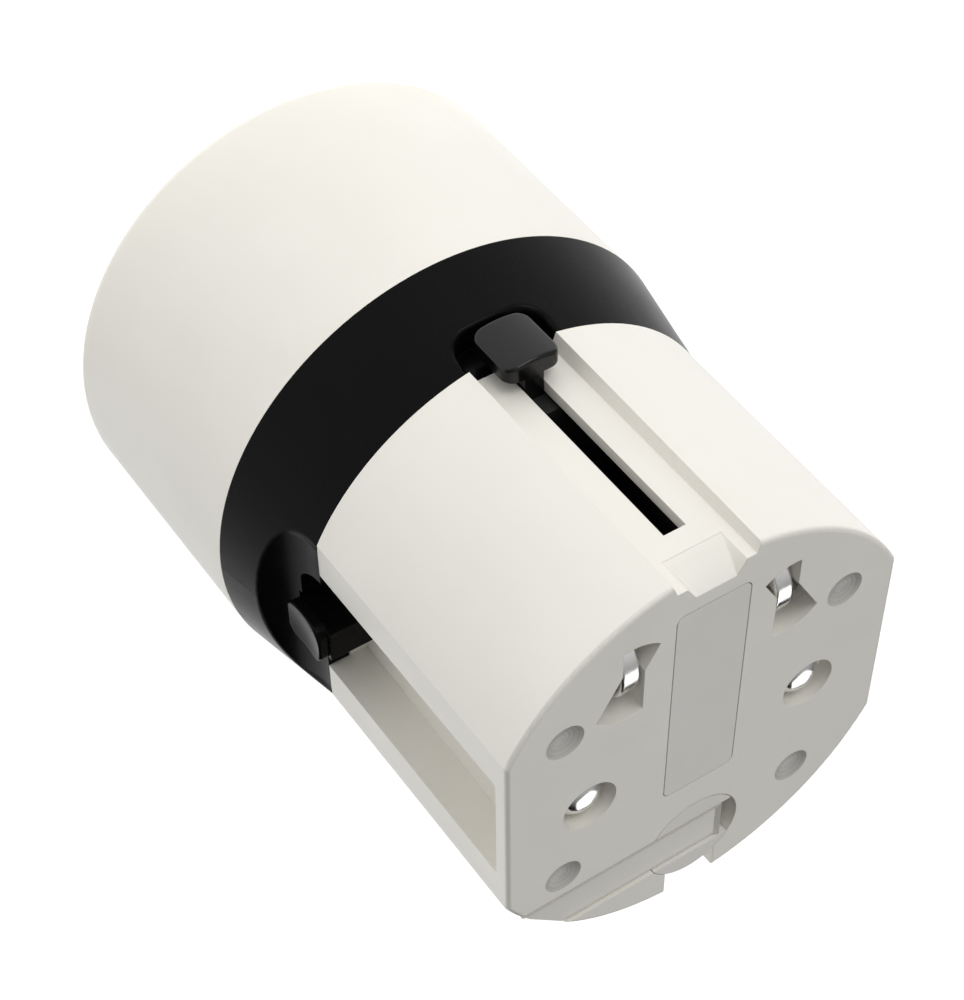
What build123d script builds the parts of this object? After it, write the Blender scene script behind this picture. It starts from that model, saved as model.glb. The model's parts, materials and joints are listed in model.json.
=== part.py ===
from build123d import *
import math
import os

# Universal travel adapter. Millimetres. It stands on its socket end: the head is at the
# bottom, the plug face is on top, and the pins slide out along +Z. The origin is the
# centre of the socket end. -Y is the side of the US and AU slider, and the two EU
# sliders are on -X and +X.

# Outer casing
LENGTH = 55.1
HEAD_LENGTH = 22.8
HEAD_R = 20.67
HEAD_TOP_R = 20.33
HEAD_RIM_FILLET = 1.0
HEAD_WALL = 1.5
HEAD_LEDGE_WIDTH = 1.0
HEAD_LEDGE_HEIGHT = 1.2
COLLAR_LENGTH = 8.86
BASE_R = 18.6
FACE_R = 18.24
BASE_FLAT_X = 16.6
FACE_FLAT_X = 16.3
FACE_EDGE_FILLET = 0.35
BASE_INNER_R = 16.8
BASE_INNER_X = 15.0
FACE_THICKNESS = 2.0
SIDE_WALL = 1.2
POCKET_WALL = 1.0
TURRET_WALL = 1.1
BASE_Z = HEAD_LENGTH + COLLAR_LENGTH
FACE_INNER_Z = LENGTH - FACE_THICKNESS

# Cutters run this far past the outside, or past the face they cut through
OUTSIDE = 30.0
OVERCUT = 1.0

# Added solids start this far inside the one they grow from
ROOT = 0.5

# Pins and blades
EU_PIN_X = 9.5
EU_PIN_Y = 0.95
EU_PIN_R = 2.0
EU_PIN_CORE_R = 1.5
EU_HOLE_R = 2.2
EU_TIP_Z = LENGTH - 0.4
EU_TIP_FILLET = 1.5
BLADE_X = 6.35
AU_BLADE_X = 6.85
BLADE_Y = -10.4
BLADE_WIDTH = 6.35
BLADE_THICKNESS = 1.5
BLADE_TIP_Z = LENGTH - 0.2
BLADE_TIP_ARC_R = 3.6
BLADE_EDGE_R = 0.25
BLADE_SLOT_WIDTH = 1.8
BLADE_SLOT_R = 3.5
BLADE_TILT = 30.0
BLADE_HOLE_R = 1.5
BLADE_HOLE_DROP = 9.0
SLEEVE_TOP_Z = 44.9
USAU_TRAVEL = 16.1

# Each blade turns about a pivot set off from its middle, so that the pair also moves
# apart from the US spacing to the AU spacing as it tilts
PIVOT_SHIFT = (AU_BLADE_X - BLADE_X) / 2
PIVOT_DROP = PIVOT_SHIFT / math.tan(math.radians(BLADE_TILT / 2))
PIVOT_X = BLADE_X + PIVOT_SHIFT
PIVOT_Y = BLADE_Y - PIVOT_DROP

# US and AU slider channel on the -Y side
CHANNEL_FLOOR_Y = -17.05
CHANNEL_WALL = 1.0
CHANNEL_FLOOR_HALF = 3.2
CHANNEL_TOP_HALF = 3.6
CHANNEL_FLARE = 0.5
CHANNEL_DEPTH = 2.5
SLOT_HALF = 0.9
SLOT_END_Z = 50.5
CLIP_RECESS_Z = 52.3
CLIP_RECESS_Y = -15.85
CLIP_RECESS_HALF = 2.4
CLIP_RECESS_FLOOR_HALF = 1.65
CLIP_RECESS_LIP = 0.02
CLIP_RECESS_CURVE = 1.5
CLIP_RECESS_STEPS = 4

# Side windows for the EU sliders
WINDOW_FLOOR_X = 13.3
WINDOW_WALL = 1.3
WINDOW_Y = (-5.2, 5.0)
WINDOW_TOP_Z = LENGTH - 1.3
WINDOW_SLOT_HALF = 1.6
WINDOW_LEDGE = 0.9

# Knobs
USAU_KNOB_Z = (29.5, 34.5)
USAU_KNOB_HALF = 2.3
USAU_KNOB_TOP_Y = -19.8
USAU_KNOB_UNDER_Y = -18.3
STOP_GAP = 0.1
USAU_STEM_Z = (29.9, SLOT_END_Z - USAU_TRAVEL - STOP_GAP)
EU_KNOB_Z = (29.3, 33.8)
EU_KNOB_HALF = 1.75
EU_KNOB_FACE_X = 18.4
EU_KNOB_UNDER_X = 17.3
EU_STEM_Z = (29.6, 34.0)
EU_STEM_HALF = 1.4
USAU_TAB_Y = (-15.8, -13.0)
USAU_TAB_HALF = 2.5
KNOB_CORNER_R = 1.0
KNOB_ROOT = 0.2
KNOB_EDGE_R = 0.3
KNOB_DISH_R = 9.0
KNOB_DISH_DEPTH = 0.35
CROWN_R = 7.0

# Carriers and the frame that guides them
USAU_CARRIER_Z = (32.4, 36.0)
USAU_CARRIER_Y = (-15.4, -4.8)
USAU_CARRIER_HALF = 11.2
ROTOR_R = 3.0
ROTOR_WALL = 0.4
ROTOR_Z = 34.3
ROTOR_PIVOT_R = 1.45
ROTOR_STUB = 0.5
BLADE_ROOT_LIFT = 0.6
EU_CARRIER_Z = (28.8, 32.8)
EU_CARRIER_Y = (-3.4, 4.9)
EU_CARRIER_HALF = 11.6
EU_CARRIER_CORNER_R = 1.0
EU_CARRIER_POCKET = ((-5.0, 5.0), (-2.0, 3.6))
EU_CARRIER_TOP = 1.2
WIPER_X = (5.6, 8.4)
WIPER_Z = (29.2, 32.6)
WIPER_LEAF = 0.4
DIVIDER_HALF = 10.0
DIVIDER_Y = (-4.5, -3.7)
RUNNING_GAP = 0.05
MOVING_GAP = 0.35
FIT_GAP = 0.15
FLANGE_GAP = 0.1
DIVIDER_GAP = 0.3
EU_CORE_TAIL = 0.8
FLANGE_Z = (21.3, HEAD_LENGTH)
FRAME_TOP_Z = 25.5

# Case screws under round covers in the plug face
SCREWS = ((-11.7, -7.9), (11.7, -7.9), (11.6, 7.85), (-9.07, 10.54))
COVER_R = 1.5
COVER_THICKNESS = 1.5
COVER_DISH = 0.5
WELL_R = 2.2
WELL_FLOOR_Z = 36.2
WELL_SEAT_Z = 37.5
SCREW_HEAD_R = 1.4
SCREW_HEAD_HEIGHT = 1.4
SCREW_SHANK_R = 0.85
SCREW_HOLE_GAP = 0.1
SCREW_TIP_Z = 28.0
CROSS_HALF = 0.9
CROSS_WIDTH = 0.4
CROSS_DEPTH = 0.7

# Fold-out plastic earth bar and its round mount
BAR_Y = 12.25
CHANNEL_WIDTH = 4.25
BAR_WIDTH = 3.95
BAR_DEPTH = 7.9
BAR_RIM_SLOPE = (0.3, 0.75)
BAR_PANEL_DEPTH = 0.3
BAR_END_X = -2.6
BAR_CHORD = ((16.0, 9.7), (11.3, 14.3))
HINGE_X = 0.3
HINGE_Z = 53.0
HINGE_PIN_R = 0.75
TURRET_Y = 12.2
TURRET_R = 4.0
TURRET_BOTTOM_Z = 45.4
BAR_POCKET_Z = 46.6
NOTCH_HALF = 2.27
HINGE_PIN_LENGTH = 7.2
BAR_HEEL = (1.4, 2.4)

# Groove on +Y that clears the second earth clip of a recessed socket
CLIP_GROOVE_HALF = 2.27
CLIP_GROOVE_Y = 17.05

# Label inlay
LABEL_HALF = 3.0
LABEL_Y = (-14.5, 5.2)
LABEL_DEPTH = 0.3
LABEL_CORNER_R = 0.6
HAIRLINE = 0.07

# Collar
COLLAR_BORE_R = 16.5
COLLAR_BORE_X = 14.9
USAU_SLOT_BACK_Y = 2.0 - COLLAR_BORE_R
SCOOP_R = 5.3
SCOOP_WIDTH = 19.2
SCOOP_END_FILLET = 2.0
DISH_R = 2.25
DISH_WIDTH = 8.4
DISH_END_FILLET = 1.0
DISH_FLOOR_X = 15.4
POCKET_HALF = 3.6
POCKET_Z = 28.7
POCKET_CORNER_R = 1.7
COLLAR_RIM_R = 0.45

# Socket end
SOCKET_PLATE_R = 18.9
SOCKET_PLATE_Z = (0.3, 2.3)
SOCKET_PLATE_CHAMFER = 0.3
SOCKET_LINE_Y = -9.0
EARTH_SLOT_Y = SOCKET_LINE_Y + 22.2
UK_SLOT = (7.4, 4.6)
UK_SLOT_X = 11.1
US_SLOT = (2.2, 7.4)
EU_SOCKET_R = 2.5
EARTH_SLOT = (4.6, 8.4)

# Contact holder
HOLDER_Z = (5.8, 20.8)
HOLDER_R = 18.4
HOLDER_BACK_Y = 5.0
EARTH_TUBE_WALL = 1.0

# USB ports, their board and the parts on it
USB_ANGLE = 38.0
USB_Z = 12.0
USB_SHELL = (8.94, 7.35, 3.26)
USB_METAL = 0.3
USB_TONGUE = (6.6, 0.7, 1.0)
USB_END_FLAT = 0.05
USB_CUT = (-2.0, 4.0)
BOARD_GAP = 0.3
USB_OUTER_R = 20.1
BOARD_Z = (USB_Z + USB_SHELL[2] / 2, USB_Z + USB_SHELL[2] / 2 + 1.0)
CORE_X = (4.2, 12.6)
CORE_Y = (7.2, 14.0)
CORE_HEIGHT = 6.0
CORE_LEG = 1.3
WINDING_PROUD = 0.6
WINDING_CORNER_R = 0.6
CAPACITOR_AT = (-9.0, 11.0)
CAPACITOR_R = 3.0
CAPACITOR_HEIGHT = 6.0
CAPACITOR_EDGE_R = 0.4

# Round safety shutter under the socket plate, and its spring
SHUTTER_R = 17.3
SHUTTER_Z = (2.6, 3.6)
SHUTTER_ARC = 43.6
SHUTTER_PIVOT_R = 1.0
SHUTTER_START = 24.2
SHUTTER_HUB_R = 3.2
SECTOR_REACH = 1.2
EARTH_BLADE_ARC = 29.0
SPRING_R = 1.9
SPRING_PITCH = 0.6
SPRING_TURNS = 2.5
SPRING_WIRE_R = 0.2
SPRING_Z = 4.0

# Socket contacts and the busbars that feed them
CONTACT_X = (5.1, 14.6)
CONTACT_BAY_Y = (-13.2, -4.8)
CONTACT_LOW_Z = 6.5
CONTACT_TOP_Z = 19.1
CONTACT_LEAF = 0.4
CONTACT_HALF_Y = 2.8
WIDE_FORK_START = 2.6
NARROW_FORK_GAP = 2.0
BUSBAR_X = 7.0
BUSBAR_HALF = 1.5
BUSBAR_Y = (5.8, 6.3)
BUSBAR_FOOT_Z = (CONTACT_TOP_Z, CONTACT_TOP_Z + 0.5)
BUSBAR_TOP_Z = 50.0

# Cartridge fuse and its clips
FUSE_Y = 0.8
FUSE_Z = 14.0
FUSE_R = 2.6
FUSE_HALF = 10.0
FUSE_CAP_LENGTH = 5.0
FUSE_CAP_WALL = 0.15
CLIP_X = (6.0, 9.0)
CLIP_METAL = 0.4
CLIP_MOUTH = 3.2
FUSE_BAY_Y = (-3.0, 4.2)
FUSE_BAY_Z = 10.6


def block(x, y, z):
    """A box between its low and high limits on each axis."""
    centre = [(low + high) / 2 for low, high in (x, y, z)]
    size = [high - low for low, high in (x, y, z)]
    return Pos(*centre) * Box(*size)


def rod(x, y, radius, low, high):
    return Pos(x, y, (low + high) / 2) * Cylinder(radius, high - low)


def taper(low_radius, high_radius, low, high):
    return Pos(0, 0, (low + high) / 2) * Cone(low_radius, high_radius, high - low)


def prism_y(points, low, high):
    """A polygon drawn in X and Z, extruded along Y."""
    outline = Plane.XZ * Polygon(*points, align=None)
    return Pos(0, high, 0) * extrude(outline, high - low, dir=(0, -1, 0))


def prism_z(points, low, high):
    """A polygon drawn in X and Y, extruded along Z."""
    outline = Pos(0, 0, low) * Polygon(*points, align=None)
    return extrude(outline, high - low, dir=(0, 0, 1))


def both_sides(solid):
    """A solid and its mirror image across the YZ plane."""
    return solid + mirror(solid, Plane.YZ)


def base_outline():
    """The outside of the plug base: a drafted round with two drafted flats."""
    sides = prism_y(
        (
            (-BASE_FLAT_X, BASE_Z),
            (BASE_FLAT_X, BASE_Z),
            (FACE_FLAT_X, LENGTH),
            (-FACE_FLAT_X, LENGTH),
        ),
        -OUTSIDE,
        OUTSIDE,
    )
    return taper(BASE_R, FACE_R, BASE_Z, LENGTH) & sides


def front_channel():
    """The slider channel on -Y, the deeper clip recess at its end and the slider slot."""
    low, high = BASE_Z, LENGTH + OVERCUT
    channel = prism_z(
        (
            (-CHANNEL_FLOOR_HALF, CHANNEL_FLOOR_Y),
            (CHANNEL_FLOOR_HALF, CHANNEL_FLOOR_Y),
            (CHANNEL_TOP_HALF + CHANNEL_FLARE, CHANNEL_FLOOR_Y - CHANNEL_DEPTH),
            (-CHANNEL_TOP_HALF - CHANNEL_FLARE, CHANNEL_FLOOR_Y - CHANNEL_DEPTH),
        ),
        low - OVERCUT,
        high,
    )
    depth = CLIP_RECESS_Y - CHANNEL_FLOOR_Y
    sections = []
    for step in range(CLIP_RECESS_STEPS + 1):
        along = step / CLIP_RECESS_STEPS
        floor = CLIP_RECESS_LIP + (depth - CLIP_RECESS_LIP) * along**CLIP_RECESS_CURVE
        floor_half = CLIP_RECESS_HALF + (CLIP_RECESS_FLOOR_HALF - CLIP_RECESS_HALF) * along
        outline = Polygon(
            (-CLIP_RECESS_HALF, -CLIP_RECESS_LIP),
            (CLIP_RECESS_HALF, -CLIP_RECESS_LIP),
            (floor_half, floor),
            (-floor_half, floor),
            align=None,
        )
        z = CLIP_RECESS_Z + (LENGTH - CLIP_RECESS_Z) * along
        sections.append(Plane((0, CHANNEL_FLOOR_Y, z)) * outline)
    recess = loft(sections)
    slot = block(
        (-SLOT_HALF, SLOT_HALF),
        (CHANNEL_FLOOR_Y - OVERCUT, CHANNEL_FLOOR_Y + 2 * CHANNEL_WALL),
        (low - OVERCUT, SLOT_END_Z),
    )
    return channel + recess + slot


def side_window():
    """The +X window recess with the slot in its floor that the knob's stem runs in."""
    recess = block((WINDOW_FLOOR_X, OUTSIDE), WINDOW_Y, (BASE_Z, WINDOW_TOP_Z))
    slot = block(
        (WINDOW_FLOOR_X - WINDOW_WALL - OVERCUT, OUTSIDE),
        (-WINDOW_SLOT_HALF, WINDOW_SLOT_HALF),
        (BASE_Z - WINDOW_LEDGE - OVERCUT, WINDOW_TOP_Z),
    )
    return recess + slot


def blade_slot(side):
    """The bow-tie that one blade sweeps in the plug face as it tilts about its pivot."""
    height = (FACE_INNER_Z - OVERCUT, LENGTH + OVERCUT)
    middle = -side * PIVOT_SHIFT
    half_width = BLADE_SLOT_WIDTH / 2
    upright = block((middle - half_width, middle + half_width), (-OUTSIDE, OUTSIDE), height)
    tilted = Rot(0, 0, -side * BLADE_TILT) * upright
    reach = math.tan(math.radians(BLADE_TILT)) * OUTSIDE
    wedge = prism_z(((0, 0), (0, -OUTSIDE), (-side * reach, -OUTSIDE)), *height)
    swept = upright + tilted + wedge + Rot(0, 0, 180) * wedge
    tie = rod(0, PIVOT_DROP, BLADE_SLOT_R, *height)
    return Pos(side * PIVOT_X, PIVOT_Y, 0) * (tie & swept)


def label_solid(gap, low, high):
    """The label's block with rounded corners, grown by a gap."""
    solid = block(
        (-LABEL_HALF - gap, LABEL_HALF + gap),
        (LABEL_Y[0] - gap, LABEL_Y[1] + gap),
        (low, high),
    )
    return fillet(solid.edges().filter_by(Axis.Z), LABEL_CORNER_R + gap)


def base_cavity():
    """The hollow inside the plug base, clear of every wall that stands in it."""
    low, high = BASE_Z - OVERCUT, FACE_INNER_Z
    hollow = rod(0, 0, BASE_INNER_R, low, high)
    hollow &= block((-BASE_INNER_X, BASE_INNER_X), (-OUTSIDE, OUTSIDE), (low, high))
    hollow -= block(
        (-CHANNEL_FLOOR_HALF - SIDE_WALL, CHANNEL_FLOOR_HALF + SIDE_WALL),
        (-OUTSIDE, CHANNEL_FLOOR_Y + CHANNEL_WALL),
        (low, high),
    )
    hollow -= both_sides(
        block(
            (WINDOW_FLOOR_X - WINDOW_WALL, OUTSIDE),
            (WINDOW_Y[0] - WINDOW_WALL, WINDOW_Y[1] + WINDOW_WALL),
            (low, high),
        )
    )
    hollow -= block(
        (-TURRET_R - SIDE_WALL, OUTSIDE),
        (BAR_Y - CHANNEL_WIDTH / 2 - POCKET_WALL, OUTSIDE),
        (BAR_POCKET_Z - POCKET_WALL, high),
    )
    hollow -= rod(0, TURRET_Y, TURRET_R + TURRET_WALL, TURRET_BOTTOM_Z - POCKET_WALL, high)
    hollow -= block(
        (-CLIP_GROOVE_HALF - POCKET_WALL, CLIP_GROOVE_HALF + POCKET_WALL),
        (CLIP_GROOVE_Y - CHANNEL_WALL, OUTSIDE),
        (low, high),
    )
    for x, y in SCREWS:
        hollow -= rod(x, y, WELL_R, WELL_FLOOR_Z, high)
    return hollow


def base_shell():
    """The white plug base: side wall and plug face in one moulding, open at the collar."""
    body = base_outline()
    rim = body.faces().sort_by(Axis.Z)[-1].edges()
    body = fillet(rim, FACE_EDGE_FILLET)
    body -= base_cavity()
    body += both_sides(
        block(
            (WINDOW_FLOOR_X - WINDOW_WALL, COLLAR_BORE_X - FIT_GAP),
            (WINDOW_Y[0] - WINDOW_WALL, WINDOW_Y[1] + WINDOW_WALL),
            (BASE_Z - WINDOW_LEDGE, BASE_Z),
        )
    )
    body -= front_channel()
    body -= both_sides(side_window())
    body -= block(
        (-CLIP_GROOVE_HALF, CLIP_GROOVE_HALF), (CLIP_GROOVE_Y, OUTSIDE), (BASE_Z - OVERCUT, LENGTH)
    )
    for side in (-1, 1):
        body -= rod(side * EU_PIN_X, EU_PIN_Y, EU_HOLE_R, FACE_INNER_Z - OVERCUT, LENGTH + OVERCUT)
        body -= blade_slot(side)
    body -= label_solid(HAIRLINE, LENGTH - LABEL_DEPTH, LENGTH + OVERCUT)
    body -= block(
        (0, OUTSIDE),
        (BAR_Y - CHANNEL_WIDTH / 2, BAR_Y + CHANNEL_WIDTH / 2),
        (BAR_POCKET_Z, LENGTH + OVERCUT),
    )
    body -= rod(0, TURRET_Y, TURRET_R + HAIRLINE, TURRET_BOTTOM_Z, LENGTH + OVERCUT)
    body -= block((-NOTCH_HALF, NOTCH_HALF), (TURRET_Y, OUTSIDE), (BAR_POCKET_Z, LENGTH + OVERCUT))
    for x, y in SCREWS:
        body -= rod(x, y, COVER_R, WELL_SEAT_Z, LENGTH + OVERCUT)
        shank_hole = (WELL_FLOOR_Z - OVERCUT, WELL_SEAT_Z + OVERCUT)
        body -= rod(x, y, SCREW_SHANK_R + SCREW_HOLE_GAP, *shank_hole)
    return body


def head_shell():
    """The white tube of the head, with the ledge that the socket plate sits on."""
    body = taper(HEAD_R, HEAD_TOP_R, 0, HEAD_LENGTH)
    body = fillet(body.faces().sort_by(Axis.Z)[0].edges(), HEAD_RIM_FILLET)
    body -= rod(0, 0, SOCKET_PLATE_R, -OVERCUT, SOCKET_PLATE_Z[1])
    body -= rod(0, 0, SOCKET_PLATE_R - HEAD_LEDGE_WIDTH, 0, SOCKET_PLATE_Z[1] + HEAD_LEDGE_HEIGHT)
    tube = (SOCKET_PLATE_Z[1] + HEAD_LEDGE_HEIGHT, HEAD_LENGTH + OVERCUT)
    body -= rod(0, 0, HEAD_TOP_R - HEAD_WALL, *tube)
    for side in (-1, 1):
        body -= usb_place(side) * usb_outline(FIT_GAP, *USB_CUT)
    return body


def collar_ring():
    """The black waist between head and base, scooped out round each knob."""
    body = taper(HEAD_TOP_R, BASE_R, HEAD_LENGTH, BASE_Z)
    bore = rod(0, 0, COLLAR_BORE_R, HEAD_LENGTH - OVERCUT, BASE_Z + OVERCUT)
    bore &= block(
        (-COLLAR_BORE_X, COLLAR_BORE_X),
        (-OUTSIDE, OUTSIDE),
        (HEAD_LENGTH - OVERCUT, BASE_Z + OVERCUT),
    )
    body -= bore
    scoop = Rot(90, 0, 0) * Cylinder(SCOOP_R, SCOOP_WIDTH)
    scoop = fillet(scoop.edges().filter_by(GeomType.CIRCLE), SCOOP_END_FILLET)
    body -= both_sides(Pos(BASE_FLAT_X + SCOOP_R, 0, BASE_Z) * scoop)
    dish = Rot(90, 0, 0) * Cylinder(DISH_R, DISH_WIDTH)
    dish = fillet(dish.edges().filter_by(GeomType.CIRCLE), DISH_END_FILLET)
    body -= both_sides(Pos(DISH_FLOOR_X + DISH_R, 0, BASE_Z) * dish)
    body -= both_sides(
        block(
            (COLLAR_BORE_X - OVERCUT, OUTSIDE),
            (-WINDOW_SLOT_HALF, WINDOW_SLOT_HALF),
            (EU_STEM_Z[0] - MOVING_GAP, BASE_Z + OVERCUT),
        )
    )
    pocket = block(
        (-POCKET_HALF, POCKET_HALF), (-OUTSIDE, CHANNEL_FLOOR_Y), (POCKET_Z, LENGTH)
    )
    inner_corners = pocket.edges().filter_by(Axis.Y).group_by(Axis.Z)[0]
    body -= fillet(inner_corners, POCKET_CORNER_R)
    body -= block(
        (-SLOT_HALF, SLOT_HALF),
        (-OUTSIDE, USAU_SLOT_BACK_Y),
        (USAU_STEM_Z[0] - MOVING_GAP, BASE_Z + OVERCUT),
    )
    return fillet(outer_rims(body), COLLAR_RIM_R)


def outer_rims(body):
    """The edges round the scoops and the pocket on the collar's outer surface."""
    found = []
    for edge in body.faces().filter_by(GeomType.CONE).edges():
        lowest = edge.bounding_box().min.Z
        if HEAD_LENGTH + OVERCUT < lowest < BASE_Z - OVERCUT:
            found.append(edge)
    return found


def usau_knob():
    """The front thumb knob: a crowned cap on a thin stem that reaches the carrier."""
    cap = block(
        (-USAU_KNOB_HALF, USAU_KNOB_HALF),
        (USAU_KNOB_TOP_Y, USAU_KNOB_UNDER_Y),
        USAU_KNOB_Z,
    )
    cap = fillet(cap.edges().filter_by(Axis.Y), KNOB_CORNER_R)
    middle = sum(USAU_KNOB_Z) / 2
    crown = Pos(0, USAU_KNOB_TOP_Y + CROWN_R, middle) * Cylinder(CROWN_R, LENGTH)
    cap &= crown
    cap = fillet(cap.faces().sort_by(Axis.Y)[0].edges(), KNOB_EDGE_R)
    stem = block(
        (-SLOT_HALF + STOP_GAP, SLOT_HALF - STOP_GAP),
        (USAU_KNOB_UNDER_Y - KNOB_ROOT, USAU_TAB_Y[0]),
        USAU_STEM_Z,
    )
    return cap + stem


def eu_knob():
    """The +X thumb knob: a dished cap with a raised rim, on a stem to the carrier."""
    cap = block(
        (EU_KNOB_UNDER_X, EU_KNOB_FACE_X), (-EU_KNOB_HALF, EU_KNOB_HALF), EU_KNOB_Z
    )
    cap = fillet(cap.edges().filter_by(Axis.X), KNOB_CORNER_R)
    cap = fillet(cap.faces().sort_by(Axis.X)[-1].edges(), KNOB_EDGE_R)
    middle = sum(EU_KNOB_Z) / 2
    dish = Pos(EU_KNOB_FACE_X + KNOB_DISH_R - KNOB_DISH_DEPTH, 0, middle) * Sphere(KNOB_DISH_R)
    stem = block(
        (EU_CARRIER_HALF, EU_KNOB_UNDER_X + KNOB_ROOT), (-EU_STEM_HALF, EU_STEM_HALF), EU_STEM_Z
    )
    return cap - dish + stem


def usau_carrier():
    """The US and AU slide block, with two rotor seats and a tab for the knob's stem."""
    body = block((-USAU_CARRIER_HALF, USAU_CARRIER_HALF), USAU_CARRIER_Y, USAU_CARRIER_Z)
    body &= rod(0, 0, BASE_INNER_R - MOVING_GAP, *USAU_CARRIER_Z)
    body += block((-USAU_TAB_HALF, USAU_TAB_HALF), USAU_TAB_Y, (USAU_STEM_Z[0], USAU_CARRIER_Z[1]))
    for x, y in SCREWS[:2]:
        well = (USAU_CARRIER_Z[0] - OVERCUT, USAU_CARRIER_Z[1] + OVERCUT)
        body -= rod(x, y, WELL_R + MOVING_GAP, *well)
    for side in (-1, 1):
        x = side * PIVOT_X
        body -= rod(x, PIVOT_Y, ROTOR_R + RUNNING_GAP, ROTOR_Z, USAU_CARRIER_Z[1] + OVERCUT)
        body -= rod(x, PIVOT_Y, ROTOR_PIVOT_R + RUNNING_GAP, USAU_CARRIER_Z[0] - OVERCUT, ROTOR_Z + OVERCUT)
    return body


def blade_block(side, low, high):
    """The full width and thickness of one blade, about its pivot."""
    middle = -side * PIVOT_SHIFT
    return block(
        (middle - BLADE_THICKNESS / 2, middle + BLADE_THICKNESS / 2),
        (PIVOT_DROP - BLADE_WIDTH / 2, PIVOT_DROP + BLADE_WIDTH / 2),
        (low, high),
    )


def blade_root(side):
    """The narrow root of one blade, which the rotor is moulded round."""
    low, high = ROTOR_Z + BLADE_ROOT_LIFT, USAU_CARRIER_Z[1]
    return blade_block(side, low, high) & rod(0, 0, ROTOR_R - ROTOR_WALL, low, high)


def usau_rotor(side):
    """The round plastic foot that lets one blade turn in the carrier."""
    body = rod(0, 0, ROTOR_R, ROTOR_Z + RUNNING_GAP, USAU_CARRIER_Z[1])
    body += rod(0, 0, ROTOR_PIVOT_R, USAU_CARRIER_Z[0] - ROTOR_STUB, ROTOR_Z + ROTOR_STUB)
    return Pos(side * PIVOT_X, PIVOT_Y, 0) * (body - blade_root(side))


def usau_blade(side):
    """One flat blade with a round tip, from its root in the rotor to its tip."""
    blade = blade_block(side, USAU_CARRIER_Z[1], BLADE_TIP_Z)
    arc_z = BLADE_TIP_Z - BLADE_TIP_ARC_R
    tip = Pos(0, PIVOT_DROP, arc_z) * (Rot(0, 90, 0) * Cylinder(BLADE_TIP_ARC_R, OUTSIDE))
    tip += block((-OUTSIDE, OUTSIDE), (-OUTSIDE, OUTSIDE), (0, arc_z))
    blade &= tip
    rim = [e for e in blade.edges() if e.bounding_box().max.Z > arc_z and e.bounding_box().size.X < HAIRLINE]
    blade = fillet(rim, BLADE_EDGE_R)
    hole = Rot(0, 90, 0) * Cylinder(BLADE_HOLE_R, OUTSIDE)
    blade -= Pos(0, PIVOT_DROP, BLADE_TIP_Z - BLADE_HOLE_DROP) * hole
    return Pos(side * PIVOT_X, PIVOT_Y, 0) * (blade + blade_root(side))


def eu_carrier():
    """The EU slide block that holds both round pins."""
    body = block((-EU_CARRIER_HALF, EU_CARRIER_HALF), EU_CARRIER_Y, EU_CARRIER_Z)
    body = fillet(body.edges().filter_by(Axis.Z), EU_CARRIER_CORNER_R)
    body -= block(*EU_CARRIER_POCKET, (EU_CARRIER_Z[0] - OVERCUT, EU_CARRIER_Z[1] - EU_CARRIER_TOP))
    for side in (-1, 1):
        body -= rod(side * EU_PIN_X, EU_PIN_Y, EU_PIN_CORE_R, 0, LENGTH)
    return body


def eu_pin(side):
    """One metal pin: a slim core through the carrier and sleeve, and a full-size end."""
    tip = rod(0, 0, EU_PIN_R, SLEEVE_TOP_Z, EU_TIP_Z)
    tip = fillet(tip.faces().sort_by(Axis.Z)[-1].edges(), EU_TIP_FILLET)
    core = rod(0, 0, EU_PIN_CORE_R, EU_CARRIER_Z[0] - EU_CORE_TAIL, SLEEVE_TOP_Z)
    return Pos(side * EU_PIN_X, EU_PIN_Y, 0) * (tip + core)


def eu_sleeve(side):
    """The insulating sleeve over the root of one round pin."""
    body = rod(0, 0, EU_PIN_R, EU_CARRIER_Z[1], SLEEVE_TOP_Z)
    body -= rod(0, 0, EU_PIN_CORE_R, 0, LENGTH)
    return Pos(side * EU_PIN_X, EU_PIN_Y, 0) * body


def eu_wipers():
    """Two leaf contacts on the back of the EU carrier."""
    leaf = block(WIPER_X, (EU_CARRIER_Y[1], EU_CARRIER_Y[1] + WIPER_LEAF), WIPER_Z)
    return both_sides(leaf)


def guide_frame():
    """The inner frame: a flange under the collar, four bosses and the middle divider."""
    body = rod(0, 0, HEAD_TOP_R - HEAD_WALL - FLANGE_GAP, *FLANGE_Z)
    body += rod(0, 0, COLLAR_BORE_R - FIT_GAP, FLANGE_Z[0], FRAME_TOP_Z) & block(
        (-COLLAR_BORE_X + FIT_GAP, COLLAR_BORE_X - FIT_GAP),
        (-OUTSIDE, OUTSIDE),
        (FLANGE_Z[0], FRAME_TOP_Z),
    )
    divider_z = (FRAME_TOP_Z - ROOT, FACE_INNER_Z - DIVIDER_GAP)
    body += block((-DIVIDER_HALF, DIVIDER_HALF), DIVIDER_Y, divider_z)
    for x, y in SCREWS:
        body += rod(x, y, WELL_R, FRAME_TOP_Z - ROOT, WELL_FLOOR_Z)
        body -= rod(x, y, SCREW_SHANK_R, SCREW_TIP_Z - ROOT, WELL_FLOOR_Z + OVERCUT)
    body -= both_sides(
        block(
            (WINDOW_FLOOR_X - WINDOW_WALL - FIT_GAP, OUTSIDE),
            (WINDOW_Y[0] - WINDOW_WALL - FIT_GAP, WINDOW_Y[1] + WINDOW_WALL + FIT_GAP),
            (BASE_Z - FIT_GAP, LENGTH),
        )
    )
    body -= both_sides(
        block(
            (BUSBAR_X - BUSBAR_HALF - FIT_GAP, BUSBAR_X + BUSBAR_HALF + FIT_GAP),
            (BUSBAR_Y[0] - FIT_GAP, BUSBAR_Y[1] + FIT_GAP),
            (FLANGE_Z[0] - OVERCUT, FRAME_TOP_Z + OVERCUT),
        )
    )
    return body


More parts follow.
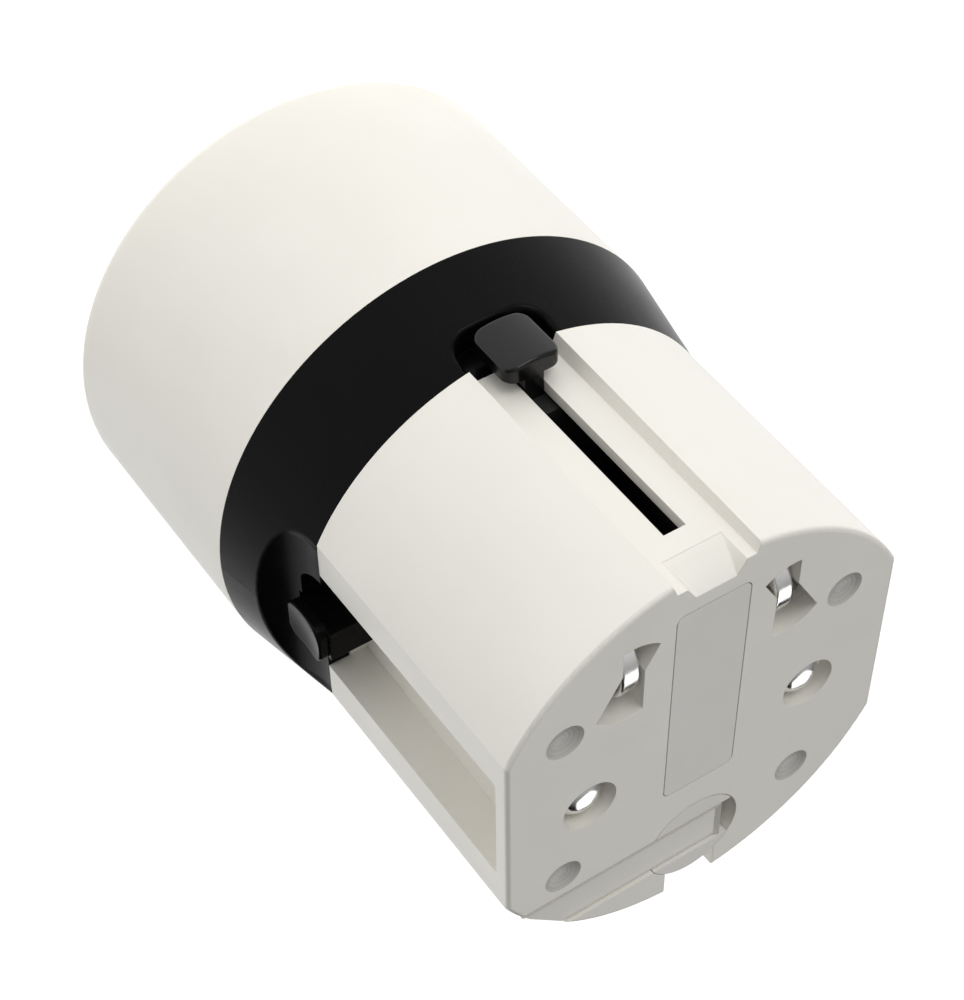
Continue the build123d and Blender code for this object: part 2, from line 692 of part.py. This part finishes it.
def busbar(side):
    """The brass strip that joins one socket contact to the sliding pins."""
    x_limits = (-BUSBAR_HALF, BUSBAR_HALF)
    foot = block(x_limits, (SOCKET_LINE_Y, BUSBAR_Y[1]), BUSBAR_FOOT_Z)
    strip = block(x_limits, BUSBAR_Y, (BUSBAR_FOOT_Z[0], BUSBAR_TOP_Z))
    return Pos(side * BUSBAR_X, 0, 0) * (foot + strip)


def screw_cover(x, y):
    """A round plug with a shallow turned dish in its face."""
    body = rod(x, y, COVER_R, LENGTH - COVER_THICKNESS, LENGTH)
    dish_r = (COVER_R**2 + COVER_DISH**2) / (2 * COVER_DISH)
    return body - Pos(x, y, LENGTH - COVER_DISH + dish_r) * Sphere(dish_r)


def case_screw(x, y):
    """A cross-head screw from the bottom of its well into the frame's boss."""
    head = rod(x, y, SCREW_HEAD_R, WELL_SEAT_Z, WELL_SEAT_Z + SCREW_HEAD_HEIGHT)
    shank = rod(x, y, SCREW_SHANK_R, SCREW_TIP_Z, WELL_SEAT_Z)
    top = WELL_SEAT_Z + SCREW_HEAD_HEIGHT
    cross = block(
        (-CROSS_HALF, CROSS_HALF), (-CROSS_WIDTH / 2, CROSS_WIDTH / 2), (top - CROSS_DEPTH, top + OVERCUT)
    )
    cross += Rot(0, 0, 90) * cross
    return head + shank - Pos(x, y, 0) * cross


def earth_bar():
    """The plastic bar that lies in the face channel and folds out to stand upright."""
    low = LENGTH - BAR_DEPTH
    y = (BAR_Y - BAR_WIDTH / 2, BAR_Y + BAR_WIDTH / 2)
    body = prism_y(
        (
            (BAR_END_X, LENGTH),
            (OUTSIDE, LENGTH),
            (OUTSIDE, low),
            (BAR_END_X + BAR_HEEL[0], low),
            (BAR_END_X, low + BAR_HEEL[1]),
        ),
        *y,
    )
    chord = prism_z(
        ((-OUTSIDE, -OUTSIDE), (BAR_CHORD[0][0], -OUTSIDE), *BAR_CHORD, (-OUTSIDE, BAR_CHORD[1][1])),
        low - OVERCUT,
        LENGTH + OVERCUT,
    )
    body &= chord & rod(0, 0, FACE_R, low - OVERCUT, LENGTH + OVERCUT)
    body -= bar_panel(y[0])
    return body - hinge_axis_rod(HINGE_PIN_R + RUNNING_GAP, CHANNEL_WIDTH)


def bar_panel(near_y):
    """The shallow panel in the top of the earth bar, with sloped rims on two sides."""
    end_slope, near_slope = BAR_RIM_SLOPE
    top = Plane((0, 0, LENGTH)) * Polygon(
        (BAR_END_X, near_y), (OUTSIDE, near_y), (OUTSIDE, OUTSIDE), (BAR_END_X, OUTSIDE), align=None
    )
    floor = Plane((0, 0, LENGTH - BAR_PANEL_DEPTH)) * Polygon(
        (BAR_END_X + end_slope, near_y + near_slope),
        (OUTSIDE, near_y + near_slope),
        (OUTSIDE, OUTSIDE),
        (BAR_END_X + end_slope, OUTSIDE),
        align=None,
    )
    return loft([floor, top], ruled=True)


def hinge_axis_rod(radius, length):
    """A rod along Y on the earth bar's hinge line."""
    return Pos(HINGE_X, BAR_Y, HINGE_Z) * (Rot(90, 0, 0) * Cylinder(radius, length))


def earth_turret():
    """The round mount of the earth bar: two cheeks on a web, bored for the hinge pin."""
    body = rod(0, TURRET_Y, TURRET_R, TURRET_BOTTOM_Z, LENGTH)
    body -= block(
        (-OUTSIDE, OUTSIDE),
        (BAR_Y - CHANNEL_WIDTH / 2, BAR_Y + CHANNEL_WIDTH / 2),
        (BAR_POCKET_Z, LENGTH + OVERCUT),
    )
    return body - hinge_axis_rod(HINGE_PIN_R, HINGE_PIN_LENGTH)


def aperture(side):
    """One line or neutral opening: an oblong UK slot crossed by an upright US slot."""
    low, high = SOCKET_PLATE_Z[0] - OVERCUT, SOCKET_PLATE_Z[1] + OVERCUT
    opening = Pos(side * UK_SLOT_X, SOCKET_LINE_Y, (low + high) / 2) * Box(*UK_SLOT, high - low)
    opening += Pos(side * BLADE_X, SOCKET_LINE_Y, (low + high) / 2) * Box(*US_SLOT, high - low)
    return opening + rod(side * EU_PIN_X, SOCKET_LINE_Y, EU_SOCKET_R, low, high)


def socket_plate():
    """The socket face: two live openings, an earth opening and the shutter's post."""
    low, high = SOCKET_PLATE_Z
    body = rod(0, 0, SOCKET_PLATE_R, low, high)
    body = chamfer(body.faces().sort_by(Axis.Z)[0].edges(), SOCKET_PLATE_CHAMFER)
    for side in (-1, 1):
        body -= aperture(side)
    body -= Pos(0, EARTH_SLOT_Y, low) * Box(*EARTH_SLOT, 2 * (high - low))
    return body + rod(0, 0, SHUTTER_PIVOT_R, high - ROOT, HOLDER_Z[0])


def sector(radius, start, arc, low, high):
    """A pie slice about Z, from a start angle through an arc, in degrees."""
    steps = 4
    corners = [(0, 0)]
    for step in range(steps + 1):
        angle = math.radians(start + arc * step / steps)
        corners.append((SECTOR_REACH * radius * math.cos(angle), SECTOR_REACH * radius * math.sin(angle)))
    return prism_z(corners, low, high) & rod(0, 0, radius, low, high)


def shutter():
    """The turning safety shutter: two blades over the live openings and one over the earth."""
    low, high = SHUTTER_Z
    body = rod(0, 0, SHUTTER_HUB_R, low, high)
    for start in (SHUTTER_START, 180 - SHUTTER_START - SHUTTER_ARC):
        body += sector(SHUTTER_R, -start - SHUTTER_ARC, SHUTTER_ARC, low, high)
    body += sector(SHUTTER_R, 90 - EARTH_BLADE_ARC / 2, EARTH_BLADE_ARC, low, high)
    return body - rod(0, 0, SHUTTER_PIVOT_R + RUNNING_GAP, low - OVERCUT, high + OVERCUT)


def shutter_spring():
    """The torsion spring round the shutter's post."""
    coil = Helix(SPRING_PITCH, SPRING_TURNS * SPRING_PITCH, SPRING_R, center=(0, 0, SPRING_Z))
    wire = Plane(origin=coil @ 0, z_dir=coil % 0) * Circle(SPRING_WIRE_R)
    return sweep(wire, coil, is_frenet=True)


def contact_holder():
    """The moulded block behind the shutter, with bays for the contacts and the fuse."""
    low, high = HOLDER_Z
    body = rod(0, 0, HOLDER_R, low, high)
    body &= block((-OUTSIDE, OUTSIDE), (-OUTSIDE, HOLDER_BACK_Y), (low, high))
    tube_half = EARTH_SLOT[0] / 2 + EARTH_TUBE_WALL
    tube_y = (EARTH_SLOT_Y - EARTH_SLOT[1] / 2 - EARTH_TUBE_WALL, HOLDER_R)
    tube = block((-tube_half, tube_half), tube_y, (low, high))
    body += tube & rod(0, 0, HOLDER_R, low, high)
    web_top = BOARD_Z[0] - FIT_GAP
    body += block((-tube_half, tube_half), (HOLDER_BACK_Y - OVERCUT, tube_y[0] + OVERCUT), (low, web_top))
    body -= Pos(0, EARTH_SLOT_Y, 0) * block(
        (-EARTH_SLOT[0] / 2, EARTH_SLOT[0] / 2),
        (-EARTH_SLOT[1] / 2, EARTH_SLOT[1] / 2),
        (low - OVERCUT, high + OVERCUT),
    )
    body -= rod(0, 0, SHUTTER_PIVOT_R + FIT_GAP, low - OVERCUT, low + OVERCUT)
    body -= both_sides(
        block(
            (CONTACT_X[0] - FIT_GAP, CONTACT_X[1] + FIT_GAP),
            CONTACT_BAY_Y,
            (low - OVERCUT, CONTACT_TOP_Z + STOP_GAP),
        )
    )
    body -= both_sides(
        block(
            (BUSBAR_X - BUSBAR_HALF - FIT_GAP, BUSBAR_X + BUSBAR_HALF + FIT_GAP),
            (SOCKET_LINE_Y - FIT_GAP, OUTSIDE),
            (CONTACT_TOP_Z - ROOT, high + OVERCUT),
        )
    )
    return body - block(
        (-FUSE_HALF - OVERCUT, FUSE_HALF + OVERCUT), FUSE_BAY_Y, (FUSE_BAY_Z, high + OVERCUT)
    )


def socket_contact():
    """The +X pole's sprung clip: a wide fork for thick pins and a narrow one for blades."""
    leaf = CONTACT_LEAF
    near_y = SOCKET_LINE_Y - CONTACT_HALF_Y
    far_y = SOCKET_LINE_Y + CONTACT_HALF_Y
    body = block(CONTACT_X, (near_y, far_y), (CONTACT_TOP_Z - leaf, CONTACT_TOP_Z))
    height = (CONTACT_LOW_Z, CONTACT_TOP_Z)
    for y in (near_y, far_y - leaf):
        body += block((CONTACT_X[0] + WIDE_FORK_START, CONTACT_X[1]), (y, y + leaf), height)
    for x in (CONTACT_X[0], CONTACT_X[0] + NARROW_FORK_GAP):
        body += block((x, x + leaf), (near_y, far_y), height)
    return body


def fuse_rod(x, radius, length):
    """A rod along X on the fuse's line, centred at x."""
    return Pos(x, FUSE_Y, FUSE_Z) * (Rot(0, 90, 0) * Cylinder(radius, length))


def fuse():
    """A ceramic tube fuse with a metal cap at each end, lying across the holder."""
    tube = fuse_rod(0, FUSE_R - FUSE_CAP_WALL, 2 * FUSE_HALF)
    cap = fuse_rod(FUSE_HALF - FUSE_CAP_LENGTH / 2, FUSE_R, FUSE_CAP_LENGTH)
    return tube + both_sides(cap)


def fuse_clips():
    """Two bent brass clips that hold the fuse by its caps."""
    reach = FUSE_R + CLIP_METAL
    clip = block(
        CLIP_X, (FUSE_Y - reach, FUSE_Y + reach), (FUSE_BAY_Z, FUSE_Z + FUSE_R + CLIP_METAL)
    )
    clip -= fuse_rod(CLIP_X[0], FUSE_R, OUTSIDE)
    mouth = (FUSE_Y - CLIP_MOUTH / 2, FUSE_Y + CLIP_MOUTH / 2)
    clip -= block((0, OUTSIDE), mouth, (FUSE_Z, OUTSIDE))
    return both_sides(clip)


def usb_place(side):
    """The frame of one USB port: its mouth on the head's wall, +Z pointing outwards."""
    angle = math.radians(90 - side * USB_ANGLE)
    mouth = (USB_OUTER_R * math.cos(angle), USB_OUTER_R * math.sin(angle), USB_Z)
    outward = (math.cos(angle), math.sin(angle), 0)
    along = (-math.sin(angle), math.cos(angle), 0)
    return Plane(origin=mouth, x_dir=along, z_dir=outward)


def usb_outline(gap, low, high):
    """A rounded oblong prism of the USB port's section, grown by a gap."""
    width, _, height = USB_SHELL
    outline = RectangleRounded(width + 2 * gap, height + 2 * gap, height / 2 + gap - USB_END_FLAT)
    return extrude(Pos(0, 0, low) * outline, high - low, dir=(0, 0, 1))


def usb_port(side):
    """A USB-C receptacle: an oval metal shell, closed behind, with its flat tongue."""
    depth = USB_SHELL[1]
    shell = usb_outline(0, -depth, 0) - usb_outline(-USB_METAL, -depth + USB_METAL, OVERCUT)
    width, thickness, setback = USB_TONGUE
    tongue = Pos(0, 0, -(depth + setback) / 2) * Box(width, thickness, depth - setback)
    return usb_place(side) * (shell + tongue)


def usb_board():
    """The power board over the USB ports, cut round the earth bay."""
    body = rod(0, 0, HOLDER_R - BOARD_GAP, *BOARD_Z)
    body &= block((-OUTSIDE, OUTSIDE), (HOLDER_BACK_Y + 2 * BOARD_GAP, OUTSIDE), BOARD_Z)
    notch_half = EARTH_SLOT[0] / 2 + EARTH_TUBE_WALL + FIT_GAP
    notch_y = EARTH_SLOT_Y - EARTH_SLOT[1] / 2 - EARTH_TUBE_WALL - FIT_GAP
    return body - block((-notch_half, notch_half), (notch_y, OUTSIDE), BOARD_Z)


def transformer():
    """The small switching transformer: a ferrite core round a wound bobbin."""
    low = BOARD_Z[1]
    window = (low + CORE_LEG, low + CORE_HEIGHT - CORE_LEG)
    core = block(CORE_X, CORE_Y, (low, low + CORE_HEIGHT))
    core -= block(
        (CORE_X[0] + CORE_LEG, CORE_X[1] - CORE_LEG), (CORE_Y[0] - OVERCUT, CORE_Y[1] + OVERCUT), window
    )
    inset = CORE_LEG + FIT_GAP
    winding = block(
        (CORE_X[0] + inset, CORE_X[1] - inset),
        (CORE_Y[0] - WINDING_PROUD, CORE_Y[1] + WINDING_PROUD),
        window,
    )
    return core + fillet(winding.edges().filter_by(Axis.Z), WINDING_CORNER_R)


def capacitor():
    """The electrolytic capacitor of the power board."""
    low = BOARD_Z[1]
    can = rod(*CAPACITOR_AT, CAPACITOR_R, low, low + CAPACITOR_HEIGHT)
    return fillet(can.faces().sort_by(Axis.Z)[-1].edges(), CAPACITOR_EDGE_R)


def all_parts():
    """Every node's name with its solid."""
    parts = {
        "head_shell": head_shell(),
        "collar_ring": collar_ring(),
        "base_shell": base_shell(),
        "label_plate": label_solid(0, LENGTH - LABEL_DEPTH, LENGTH),
        "screw_covers": Compound(children=[screw_cover(x, y) for x, y in SCREWS]),
        "case_screws": Compound(children=[case_screw(x, y) for x, y in SCREWS]),
        "guide_frame": guide_frame(),
        "socket_plate": socket_plate(),
        "shutter": shutter(),
        "shutter_spring": shutter_spring(),
        "contact_holder": contact_holder(),
        "fuse": fuse(),
        "fuse_clips": fuse_clips(),
        "usb_board": usb_board(),
        "transformer": transformer(),
        "capacitor": capacitor(),
        "usau_knob": usau_knob(),
        "usau_carrier": usau_carrier(),
        "eu_carrier": eu_carrier(),
        "eu_wipers": eu_wipers(),
        "earth_turret": earth_turret(),
        "earth_bar": earth_bar(),
        "earth_hinge_pin": hinge_axis_rod(HINGE_PIN_R, HINGE_PIN_LENGTH),
    }
    right_knob = eu_knob()
    clip = socket_contact()
    for side, name in ((-1, "left"), (1, "right")):
        parts["eu_knob_" + name] = right_knob if side > 0 else mirror(right_knob, Plane.YZ)
        parts["eu_pin_" + name] = eu_pin(side)
        parts["eu_sleeve_" + name] = eu_sleeve(side)
        parts["usau_rotor_" + name] = usau_rotor(side)
        parts["usau_blade_" + name] = usau_blade(side)
        parts["usb_port_" + name] = usb_port(side)
        parts["busbar_" + name] = busbar(side)
        parts["socket_contact_" + name] = clip if side > 0 else mirror(clip, Plane.YZ)
    return parts


os.makedirs("parts", exist_ok=True)
for node, solid in all_parts().items():
    export_step(solid, f"parts/{node}.step")
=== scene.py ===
import json
import math

import bmesh
import bpy
from mathutils import Matrix, Vector


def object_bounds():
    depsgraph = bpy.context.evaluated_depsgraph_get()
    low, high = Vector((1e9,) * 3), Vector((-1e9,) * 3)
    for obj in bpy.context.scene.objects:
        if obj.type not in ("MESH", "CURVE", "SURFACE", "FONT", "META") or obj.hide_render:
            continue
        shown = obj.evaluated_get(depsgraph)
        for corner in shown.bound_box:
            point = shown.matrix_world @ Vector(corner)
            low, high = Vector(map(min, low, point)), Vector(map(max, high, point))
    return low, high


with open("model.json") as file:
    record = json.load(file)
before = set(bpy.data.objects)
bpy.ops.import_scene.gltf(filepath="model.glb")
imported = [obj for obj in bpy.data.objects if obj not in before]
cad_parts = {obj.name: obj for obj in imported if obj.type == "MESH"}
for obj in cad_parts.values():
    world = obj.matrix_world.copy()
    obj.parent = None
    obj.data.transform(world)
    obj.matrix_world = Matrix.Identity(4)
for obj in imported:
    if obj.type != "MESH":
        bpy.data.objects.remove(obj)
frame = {"nodes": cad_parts, "record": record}
CAD_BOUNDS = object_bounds()

MM = 0.001

# The view: where the camera stands, what it looks at, and how far it is rolled
CAMERA_AT = Vector((61.4, -122.4, 123.7)) * MM
CAMERA_TARGET = Vector((0.38, 0.08, 27.86)) * MM
CAMERA_ROLL = math.radians(137.87)
CAMERA_LENS = 78.5
SENSOR_WIDTH = 36
CLIP_RANGE = (0.005, 20)

# The light: a sky that is bright towards one side, lamps in watts, and the floor's glow
OBJECT_MIDDLE = Vector((0, 0, 0.028))
SKY_TOWARDS = Vector((-0.30, -0.75, 0.60)).normalized()
SKY_RAMP = (-0.25, 1.0, 0.01, 0.66)
KEY_POWER = 0.78
GLINT_POWER = 0.32
FLOOR_GLOW = 0.66
FLOOR_HALF = 3.0
FLOOR_GAP = 0.00005

# Ranges of noise, for mottling, patches of gloss, scuffs, and marks on metal and their tarnish
NOISE_BAND = (0.3, 0.7)
PATCH_BAND = (0.25, 0.75)
SCUFF_BAND = (0.62, 0.72)
MARK_BAND = (0.35, 0.7)
TARNISH_BAND = (0.5, 0.8)
TARNISH_TONE = 0.86
RING_PITCH = 0.3
BEVEL_SAMPLES = 6

# A Mix node's colour sockets by place, because its sockets share their names
MIX_FIRST, MIX_SECOND, MIX_RESULT = 6, 7, 2

NODES = frame["nodes"]

# Plastics: colour, the colour it mottles towards, roughness, and what differs from the usual
WHITE = (0.875, 0.850, 0.785)
WHITE_SHADE = (0.85, 0.825, 0.76)
BLACK = (0.002, 0.002, 0.0022)
BLACK_SHADE = (0.003, 0.003, 0.003)
SATIN = {"grain": 0.3, "depth": 0.003, "gloss": 0.07}
SHINY = {"grain": 0.3, "depth": 0.002, "gloss": 0.35, "bevel": 0.08}
PLASTICS = {
    "white_shell": (WHITE, WHITE_SHADE, 0.34, {"bevel": 0.06}),
    "black_satin": (BLACK, BLACK_SHADE, 0.26, SATIN),
    "knob_black": (BLACK, BLACK_SHADE, 0.2, SHINY),
    "face_grey": ((0.84, 0.815, 0.765), (0.82, 0.795, 0.745), 0.42, {"bevel": 0.04}),
    "inner_black": ((0.012, 0.012, 0.012), (0.02, 0.02, 0.02), 0.5, {}),
    "socket_white": (WHITE, WHITE_SHADE, 0.38, {}),
    "shutter_grey": ((0.42, 0.42, 0.41), (0.36, 0.36, 0.35), 0.45, {}),
    "ceramic": ((0.82, 0.80, 0.75), (0.78, 0.76, 0.70), 0.3, {}),
    "board_green": ((0.02, 0.16, 0.06), (0.015, 0.12, 0.05), 0.3, {}),
    "ferrite": ((0.05, 0.05, 0.055), (0.08, 0.08, 0.08), 0.6, {}),
    "can_sleeve": ((0.01, 0.015, 0.05), (0.012, 0.02, 0.06), 0.25, {}),
}

# Metals: colour and roughness
METALS = {
    "nickel": ((0.93, 0.925, 0.91), 0.13),
    "brass": ((0.80, 0.60, 0.30), 0.28),
    "steel": ((0.62, 0.62, 0.62), 0.3),
}
# Round covers: two tones for the cover plastic, both darkened well below the shell's white as
# painted shade, standing in for the shade that falls in the dished dimples
COVER_TONES_AND_PAINTED_SHADE = ((0.60, 0.585, 0.55), (0.50, 0.49, 0.46))

# Nodes whose look differs from their material slot
OWN_LOOK = {
    # The covers' look carries painted shade: their colours are darkened for the shade in the
    # dimples
    "screw_covers": "cover_tone_and_painted_shade",
    "usau_knob": "knob_black",
}


# ---------------------------------------------------------------- materials


def set_map_range(node, values):
    """Sets a Map Range node's limits: from low, from high, to low, to high."""
    for socket, value in zip(("From Min", "From Max", "To Min", "To Max"), values):
        node.inputs[socket].default_value = value


class Shader:
    """A node material with one Principled shader, built a step at a time."""

    def __init__(self, name, color, roughness, metallic=0.0, specular=0.5):
        self.material = bpy.data.materials.new(name)
        self.material.use_nodes = True
        self.tree = self.material.node_tree
        self.bsdf = self.tree.nodes["Principled BSDF"]
        self.bsdf.inputs["Base Color"].default_value = (*color, 1)
        self.bsdf.inputs["Roughness"].default_value = roughness
        self.bsdf.inputs["Metallic"].default_value = metallic
        self.bsdf.inputs["Specular IOR Level"].default_value = specular
        self.coordinates = self.tree.nodes.new("ShaderNodeTexCoord").outputs["Object"]
        self.normal = None

    def link(self, output, socket):
        self.tree.links.new(output, socket)

    def noise(self, size, detail=2.0, stretch=(1, 1, 1), distortion=0.0):
        """Noise whose features are about size millimetres across."""
        mapping = self.tree.nodes.new("ShaderNodeMapping")
        mapping.inputs["Scale"].default_value = [s / (size * MM) for s in stretch]
        self.link(self.coordinates, mapping.inputs["Vector"])
        noise = self.tree.nodes.new("ShaderNodeTexNoise")
        noise.inputs["Scale"].default_value = 1.0
        noise.inputs["Detail"].default_value = detail
        noise.inputs["Distortion"].default_value = distortion
        self.link(mapping.outputs["Vector"], noise.inputs["Vector"])
        return noise.outputs["Fac"]

    def ramp(self, factor, low, high, low_value, high_value):
        """A clamped linear map of a factor."""
        node = self.tree.nodes.new("ShaderNodeMapRange")
        set_map_range(node, (low, high, low_value, high_value))
        self.link(factor, node.inputs["Value"])
        return node.outputs["Result"]

    def add(self, first, second, scale=1.0):
        """The first factor plus the second one scaled."""
        node = self.tree.nodes.new("ShaderNodeMath")
        node.operation = "MULTIPLY_ADD"
        self.link(second, node.inputs[0])
        node.inputs[1].default_value = scale
        self.link(first, node.inputs[2])
        return node.outputs[0]

    def rings(self, centres, pitch):
        """Rings about upright axes at the centres, a pitch apart in millimetres."""
        distances = []
        for x, y in centres:
            offset = self.tree.nodes.new("ShaderNodeVectorMath")
            offset.operation = "SUBTRACT"
            offset.inputs[1].default_value = (x, y, 0)
            self.link(self.coordinates, offset.inputs[0])
            flat = self.tree.nodes.new("ShaderNodeVectorMath")
            flat.operation = "MULTIPLY"
            flat.inputs[1].default_value = (1, 1, 0)
            self.link(offset.outputs[0], flat.inputs[0])
            length = self.tree.nodes.new("ShaderNodeVectorMath")
            length.operation = "LENGTH"
            self.link(flat.outputs[0], length.inputs[0])
            distances.append(length.outputs["Value"])
        nearest = distances[0]
        for distance in distances[1:]:
            node = self.tree.nodes.new("ShaderNodeMath")
            node.operation = "MINIMUM"
            self.link(nearest, node.inputs[0])
            self.link(distance, node.inputs[1])
            nearest = node.outputs[0]
        phase = self.tree.nodes.new("ShaderNodeMath")
        phase.operation = "MULTIPLY"
        phase.inputs[1].default_value = math.tau / (pitch * MM)
        self.link(nearest, phase.inputs[0])
        wave = self.tree.nodes.new("ShaderNodeMath")
        wave.operation = "SINE"
        self.link(phase.outputs[0], wave.inputs[0])
        return self.ramp(wave.outputs[0], -1, 1, 0, 1)

    def mix_color(self, factor, first, second):
        """A colour that goes from the first to the second with the factor."""
        node = self.tree.nodes.new("ShaderNodeMix")
        node.data_type = "RGBA"
        self.link(factor, node.inputs["Factor"])
        node.inputs[MIX_FIRST].default_value = (*first, 1)
        node.inputs[MIX_SECOND].default_value = (*second, 1)
        return node.outputs[MIX_RESULT]

    def color(self, output):
        self.link(output, self.bsdf.inputs["Base Color"])

    def roughness(self, output):
        self.link(output, self.bsdf.inputs["Roughness"])

    def bump(self, height, depth):
        """Adds relief of about depth millimetres, over any relief added before."""
        node = self.tree.nodes.new("ShaderNodeBump")
        node.inputs["Distance"].default_value = depth * MM
        node.inputs["Strength"].default_value = 1.0
        self.link(height, node.inputs["Height"])
        if self.normal is not None:
            self.link(self.normal, node.inputs["Normal"])
        self.normal = node.outputs["Normal"]
        self.link(self.normal, self.bsdf.inputs["Normal"])

    def bevel(self, radius):
        """Softens hard edges by about radius millimetres in shading."""
        node = self.tree.nodes.new("ShaderNodeBevel")
        node.samples = BEVEL_SAMPLES
        node.inputs["Radius"].default_value = radius * MM
        if self.normal is not None:
            self.link(self.normal, node.inputs["Normal"])
        self.normal = node.outputs["Normal"]
        self.link(self.normal, self.bsdf.inputs["Normal"])


def moulded_plastic(
    name, color, shade, roughness, grain=0.35, depth=0.004, gloss=0.5, bevel=0.12
):
    """Moulded plastic: fine spark texture, faint mottling, uneven gloss and light scuffs."""
    shader = Shader(name, color, roughness, specular=gloss)
    mottle = shader.ramp(shader.noise(9.0, 3.0), *NOISE_BAND, 0, 1)
    shader.color(shader.mix_color(mottle, color, shade))
    shader.bevel(bevel)
    shader.bump(shader.noise(grain, 3.0), depth)
    patches = shader.noise(5.0, 4.0)
    patchy = shader.ramp(patches, *PATCH_BAND, roughness - 0.04, roughness + 0.06)
    scratches = shader.noise(1.2, 3.0, stretch=(1, 1, 0.15))
    scuffs = shader.ramp(scratches, *SCUFF_BAND, 0, 0.07)
    shader.roughness(shader.add(patchy, scuffs))
    return shader.material


def plated_metal(name, color, roughness):
    """Bright plating with fine drawing lines along Z and faint handling marks."""
    shader = Shader(name, color, roughness, metallic=1.0)
    shader.bevel(0.1)
    shader.bump(shader.noise(0.12, 2.0, stretch=(1, 1, 0.05)), 0.0008)
    marks = shader.noise(1.5, 5.0, distortion=0.4)
    shader.roughness(shader.ramp(marks, *MARK_BAND, roughness, roughness + 0.12))
    tarnish = tuple(channel * TARNISH_TONE for channel in color)
    shader.color(shader.mix_color(shader.ramp(marks, *TARNISH_BAND, 0, 1), color, tarnish))
    return shader.material


def turned_cover(name, color, shade, centres):
    """Round plastic covers with concentric turning marks about each cover's centre."""
    shader = Shader(name, color, 0.36)
    rings = shader.rings(centres, RING_PITCH)
    tone = shader.add(shader.noise(2.0, 3.0), rings, 0.35)
    shader.color(shader.mix_color(shader.ramp(tone, 0.35, 1.0, 0, 1), color, shade))
    shader.bump(rings, 0.007)
    shader.roughness(shader.ramp(shader.noise(0.8, 3.0), *NOISE_BAND, 0.30, 0.42))
    return shader.material


def cover_centres():
    """Where the round covers stand: the middle of each separate cover."""
    mesh = bmesh.new()
    mesh.from_mesh(NODES["screw_covers"].data)
    left = set(mesh.verts)
    centres = []
    while left:
        island = [left.pop()]
        for vert in island:
            for edge in vert.link_edges:
                other = edge.other_vert(vert)
                if other in left:
                    left.remove(other)
                    island.append(other)
        spans = [[vert.co[axis] for vert in island] for axis in (0, 1)]
        centres.append([(min(span) + max(span)) / 2 for span in spans])
    mesh.free()
    return sorted(centres)


def make_materials():
    """The finished materials by slot name."""
    made = {}
    for name, (color, shade, roughness, extra) in PLASTICS.items():
        made[name] = moulded_plastic(name, color, shade, roughness, **extra)
    for name, (color, roughness) in METALS.items():
        made[name] = plated_metal(name, color, roughness)
    # The cover colours hold painted shade, darker than the plastic to copy the shade in the dimples
    made["cover_tone_and_painted_shade"] = turned_cover("cover_tone_and_painted_shade", *COVER_TONES_AND_PAINTED_SHADE, cover_centres())
    return made


def paint_cad_nodes(materials):
    """Gives every CAD node the finished material of its slot."""
    for entry in frame["record"]["subparts"]:
        node = NODES[entry["node"]]
        node.data.materials.clear()
        slot = OWN_LOOK.get(entry["node"], entry["material_slot"])
        node.data.materials.append(materials[slot])


# ---------------------------------------------------------------- the stage


def make_camera():
    camera = bpy.data.objects.new("camera", bpy.data.cameras.new("camera"))
    bpy.context.scene.collection.objects.link(camera)
    camera.location = CAMERA_AT
    look = (CAMERA_TARGET - CAMERA_AT).to_track_quat("-Z", "Y")
    roll = Matrix.Rotation(CAMERA_ROLL, 3, "Z").to_quaternion()
    camera.rotation_euler = (look @ roll).to_euler()
    camera.data.lens = CAMERA_LENS
    camera.data.sensor_width = SENSOR_WIDTH
    camera.data.clip_start, camera.data.clip_end = CLIP_RANGE
    bpy.context.scene.camera = camera


def make_floor():
    shader = Shader("floor_paper", (0.9, 0.9, 0.9), 0.9)
    shader.bsdf.inputs["Emission Color"].default_value = (1, 1, 1, 1)
    shader.bsdf.inputs["Emission Strength"].default_value = FLOOR_GLOW
    mesh = bpy.data.meshes.new("floor")
    corners = [(x * FLOOR_HALF, y * FLOOR_HALF, 0) for x, y in ((-1, -1), (1, -1), (1, 1), (-1, 1))]
    mesh.from_pydata(corners, [], [(0, 1, 2, 3)])
    floor = bpy.data.objects.new("floor", mesh)
    floor.data.materials.append(shader.material)
    bpy.context.scene.collection.objects.link(floor)
    floor.location.z = CAD_BOUNDS[0][2] - FLOOR_GAP


def add_area_light(name, direction, distance, size, power):
    """A soft square light that faces the middle of the object from a direction."""
    data = bpy.data.lights.new(name, "AREA")
    data.energy = power
    data.size = size
    light = bpy.data.objects.new(name, data)
    bpy.context.scene.collection.objects.link(light)
    light.location = OBJECT_MIDDLE + Vector(direction).normalized() * distance
    light.rotation_euler = (OBJECT_MIDDLE - light.location).to_track_quat("-Z", "Y").to_euler()


def make_lights():
    """A dome that brightens to the -Y side, a key on that side and a small glint lamp."""
    world = bpy.data.worlds.new("studio")
    bpy.context.scene.world = world
    world.use_nodes = True
    tree = world.node_tree
    background = tree.nodes["Background"]
    direction = tree.nodes.new("ShaderNodeTexCoord")
    towards = tree.nodes.new("ShaderNodeVectorMath")
    towards.operation = "DOT_PRODUCT"
    towards.inputs[1].default_value = SKY_TOWARDS
    strength = tree.nodes.new("ShaderNodeMapRange")
    set_map_range(strength, SKY_RAMP)
    tree.links.new(direction.outputs["Generated"], towards.inputs[0])
    tree.links.new(towards.outputs["Value"], strength.inputs["Value"])
    tree.links.new(strength.outputs["Result"], background.inputs["Strength"])
    background.inputs["Color"].default_value = (1, 1, 1, 1)
    add_area_light("key", (-0.2, -1.0, 0.4), 0.6, 0.28, KEY_POWER)
    add_area_light("glint", (-0.36, 0.74, 0.66), 0.5, 0.28, GLINT_POWER)


make_camera()
make_floor()
make_lights()
bpy.context.scene.view_settings.view_transform = "Standard"

paint_cad_nodes(make_materials())
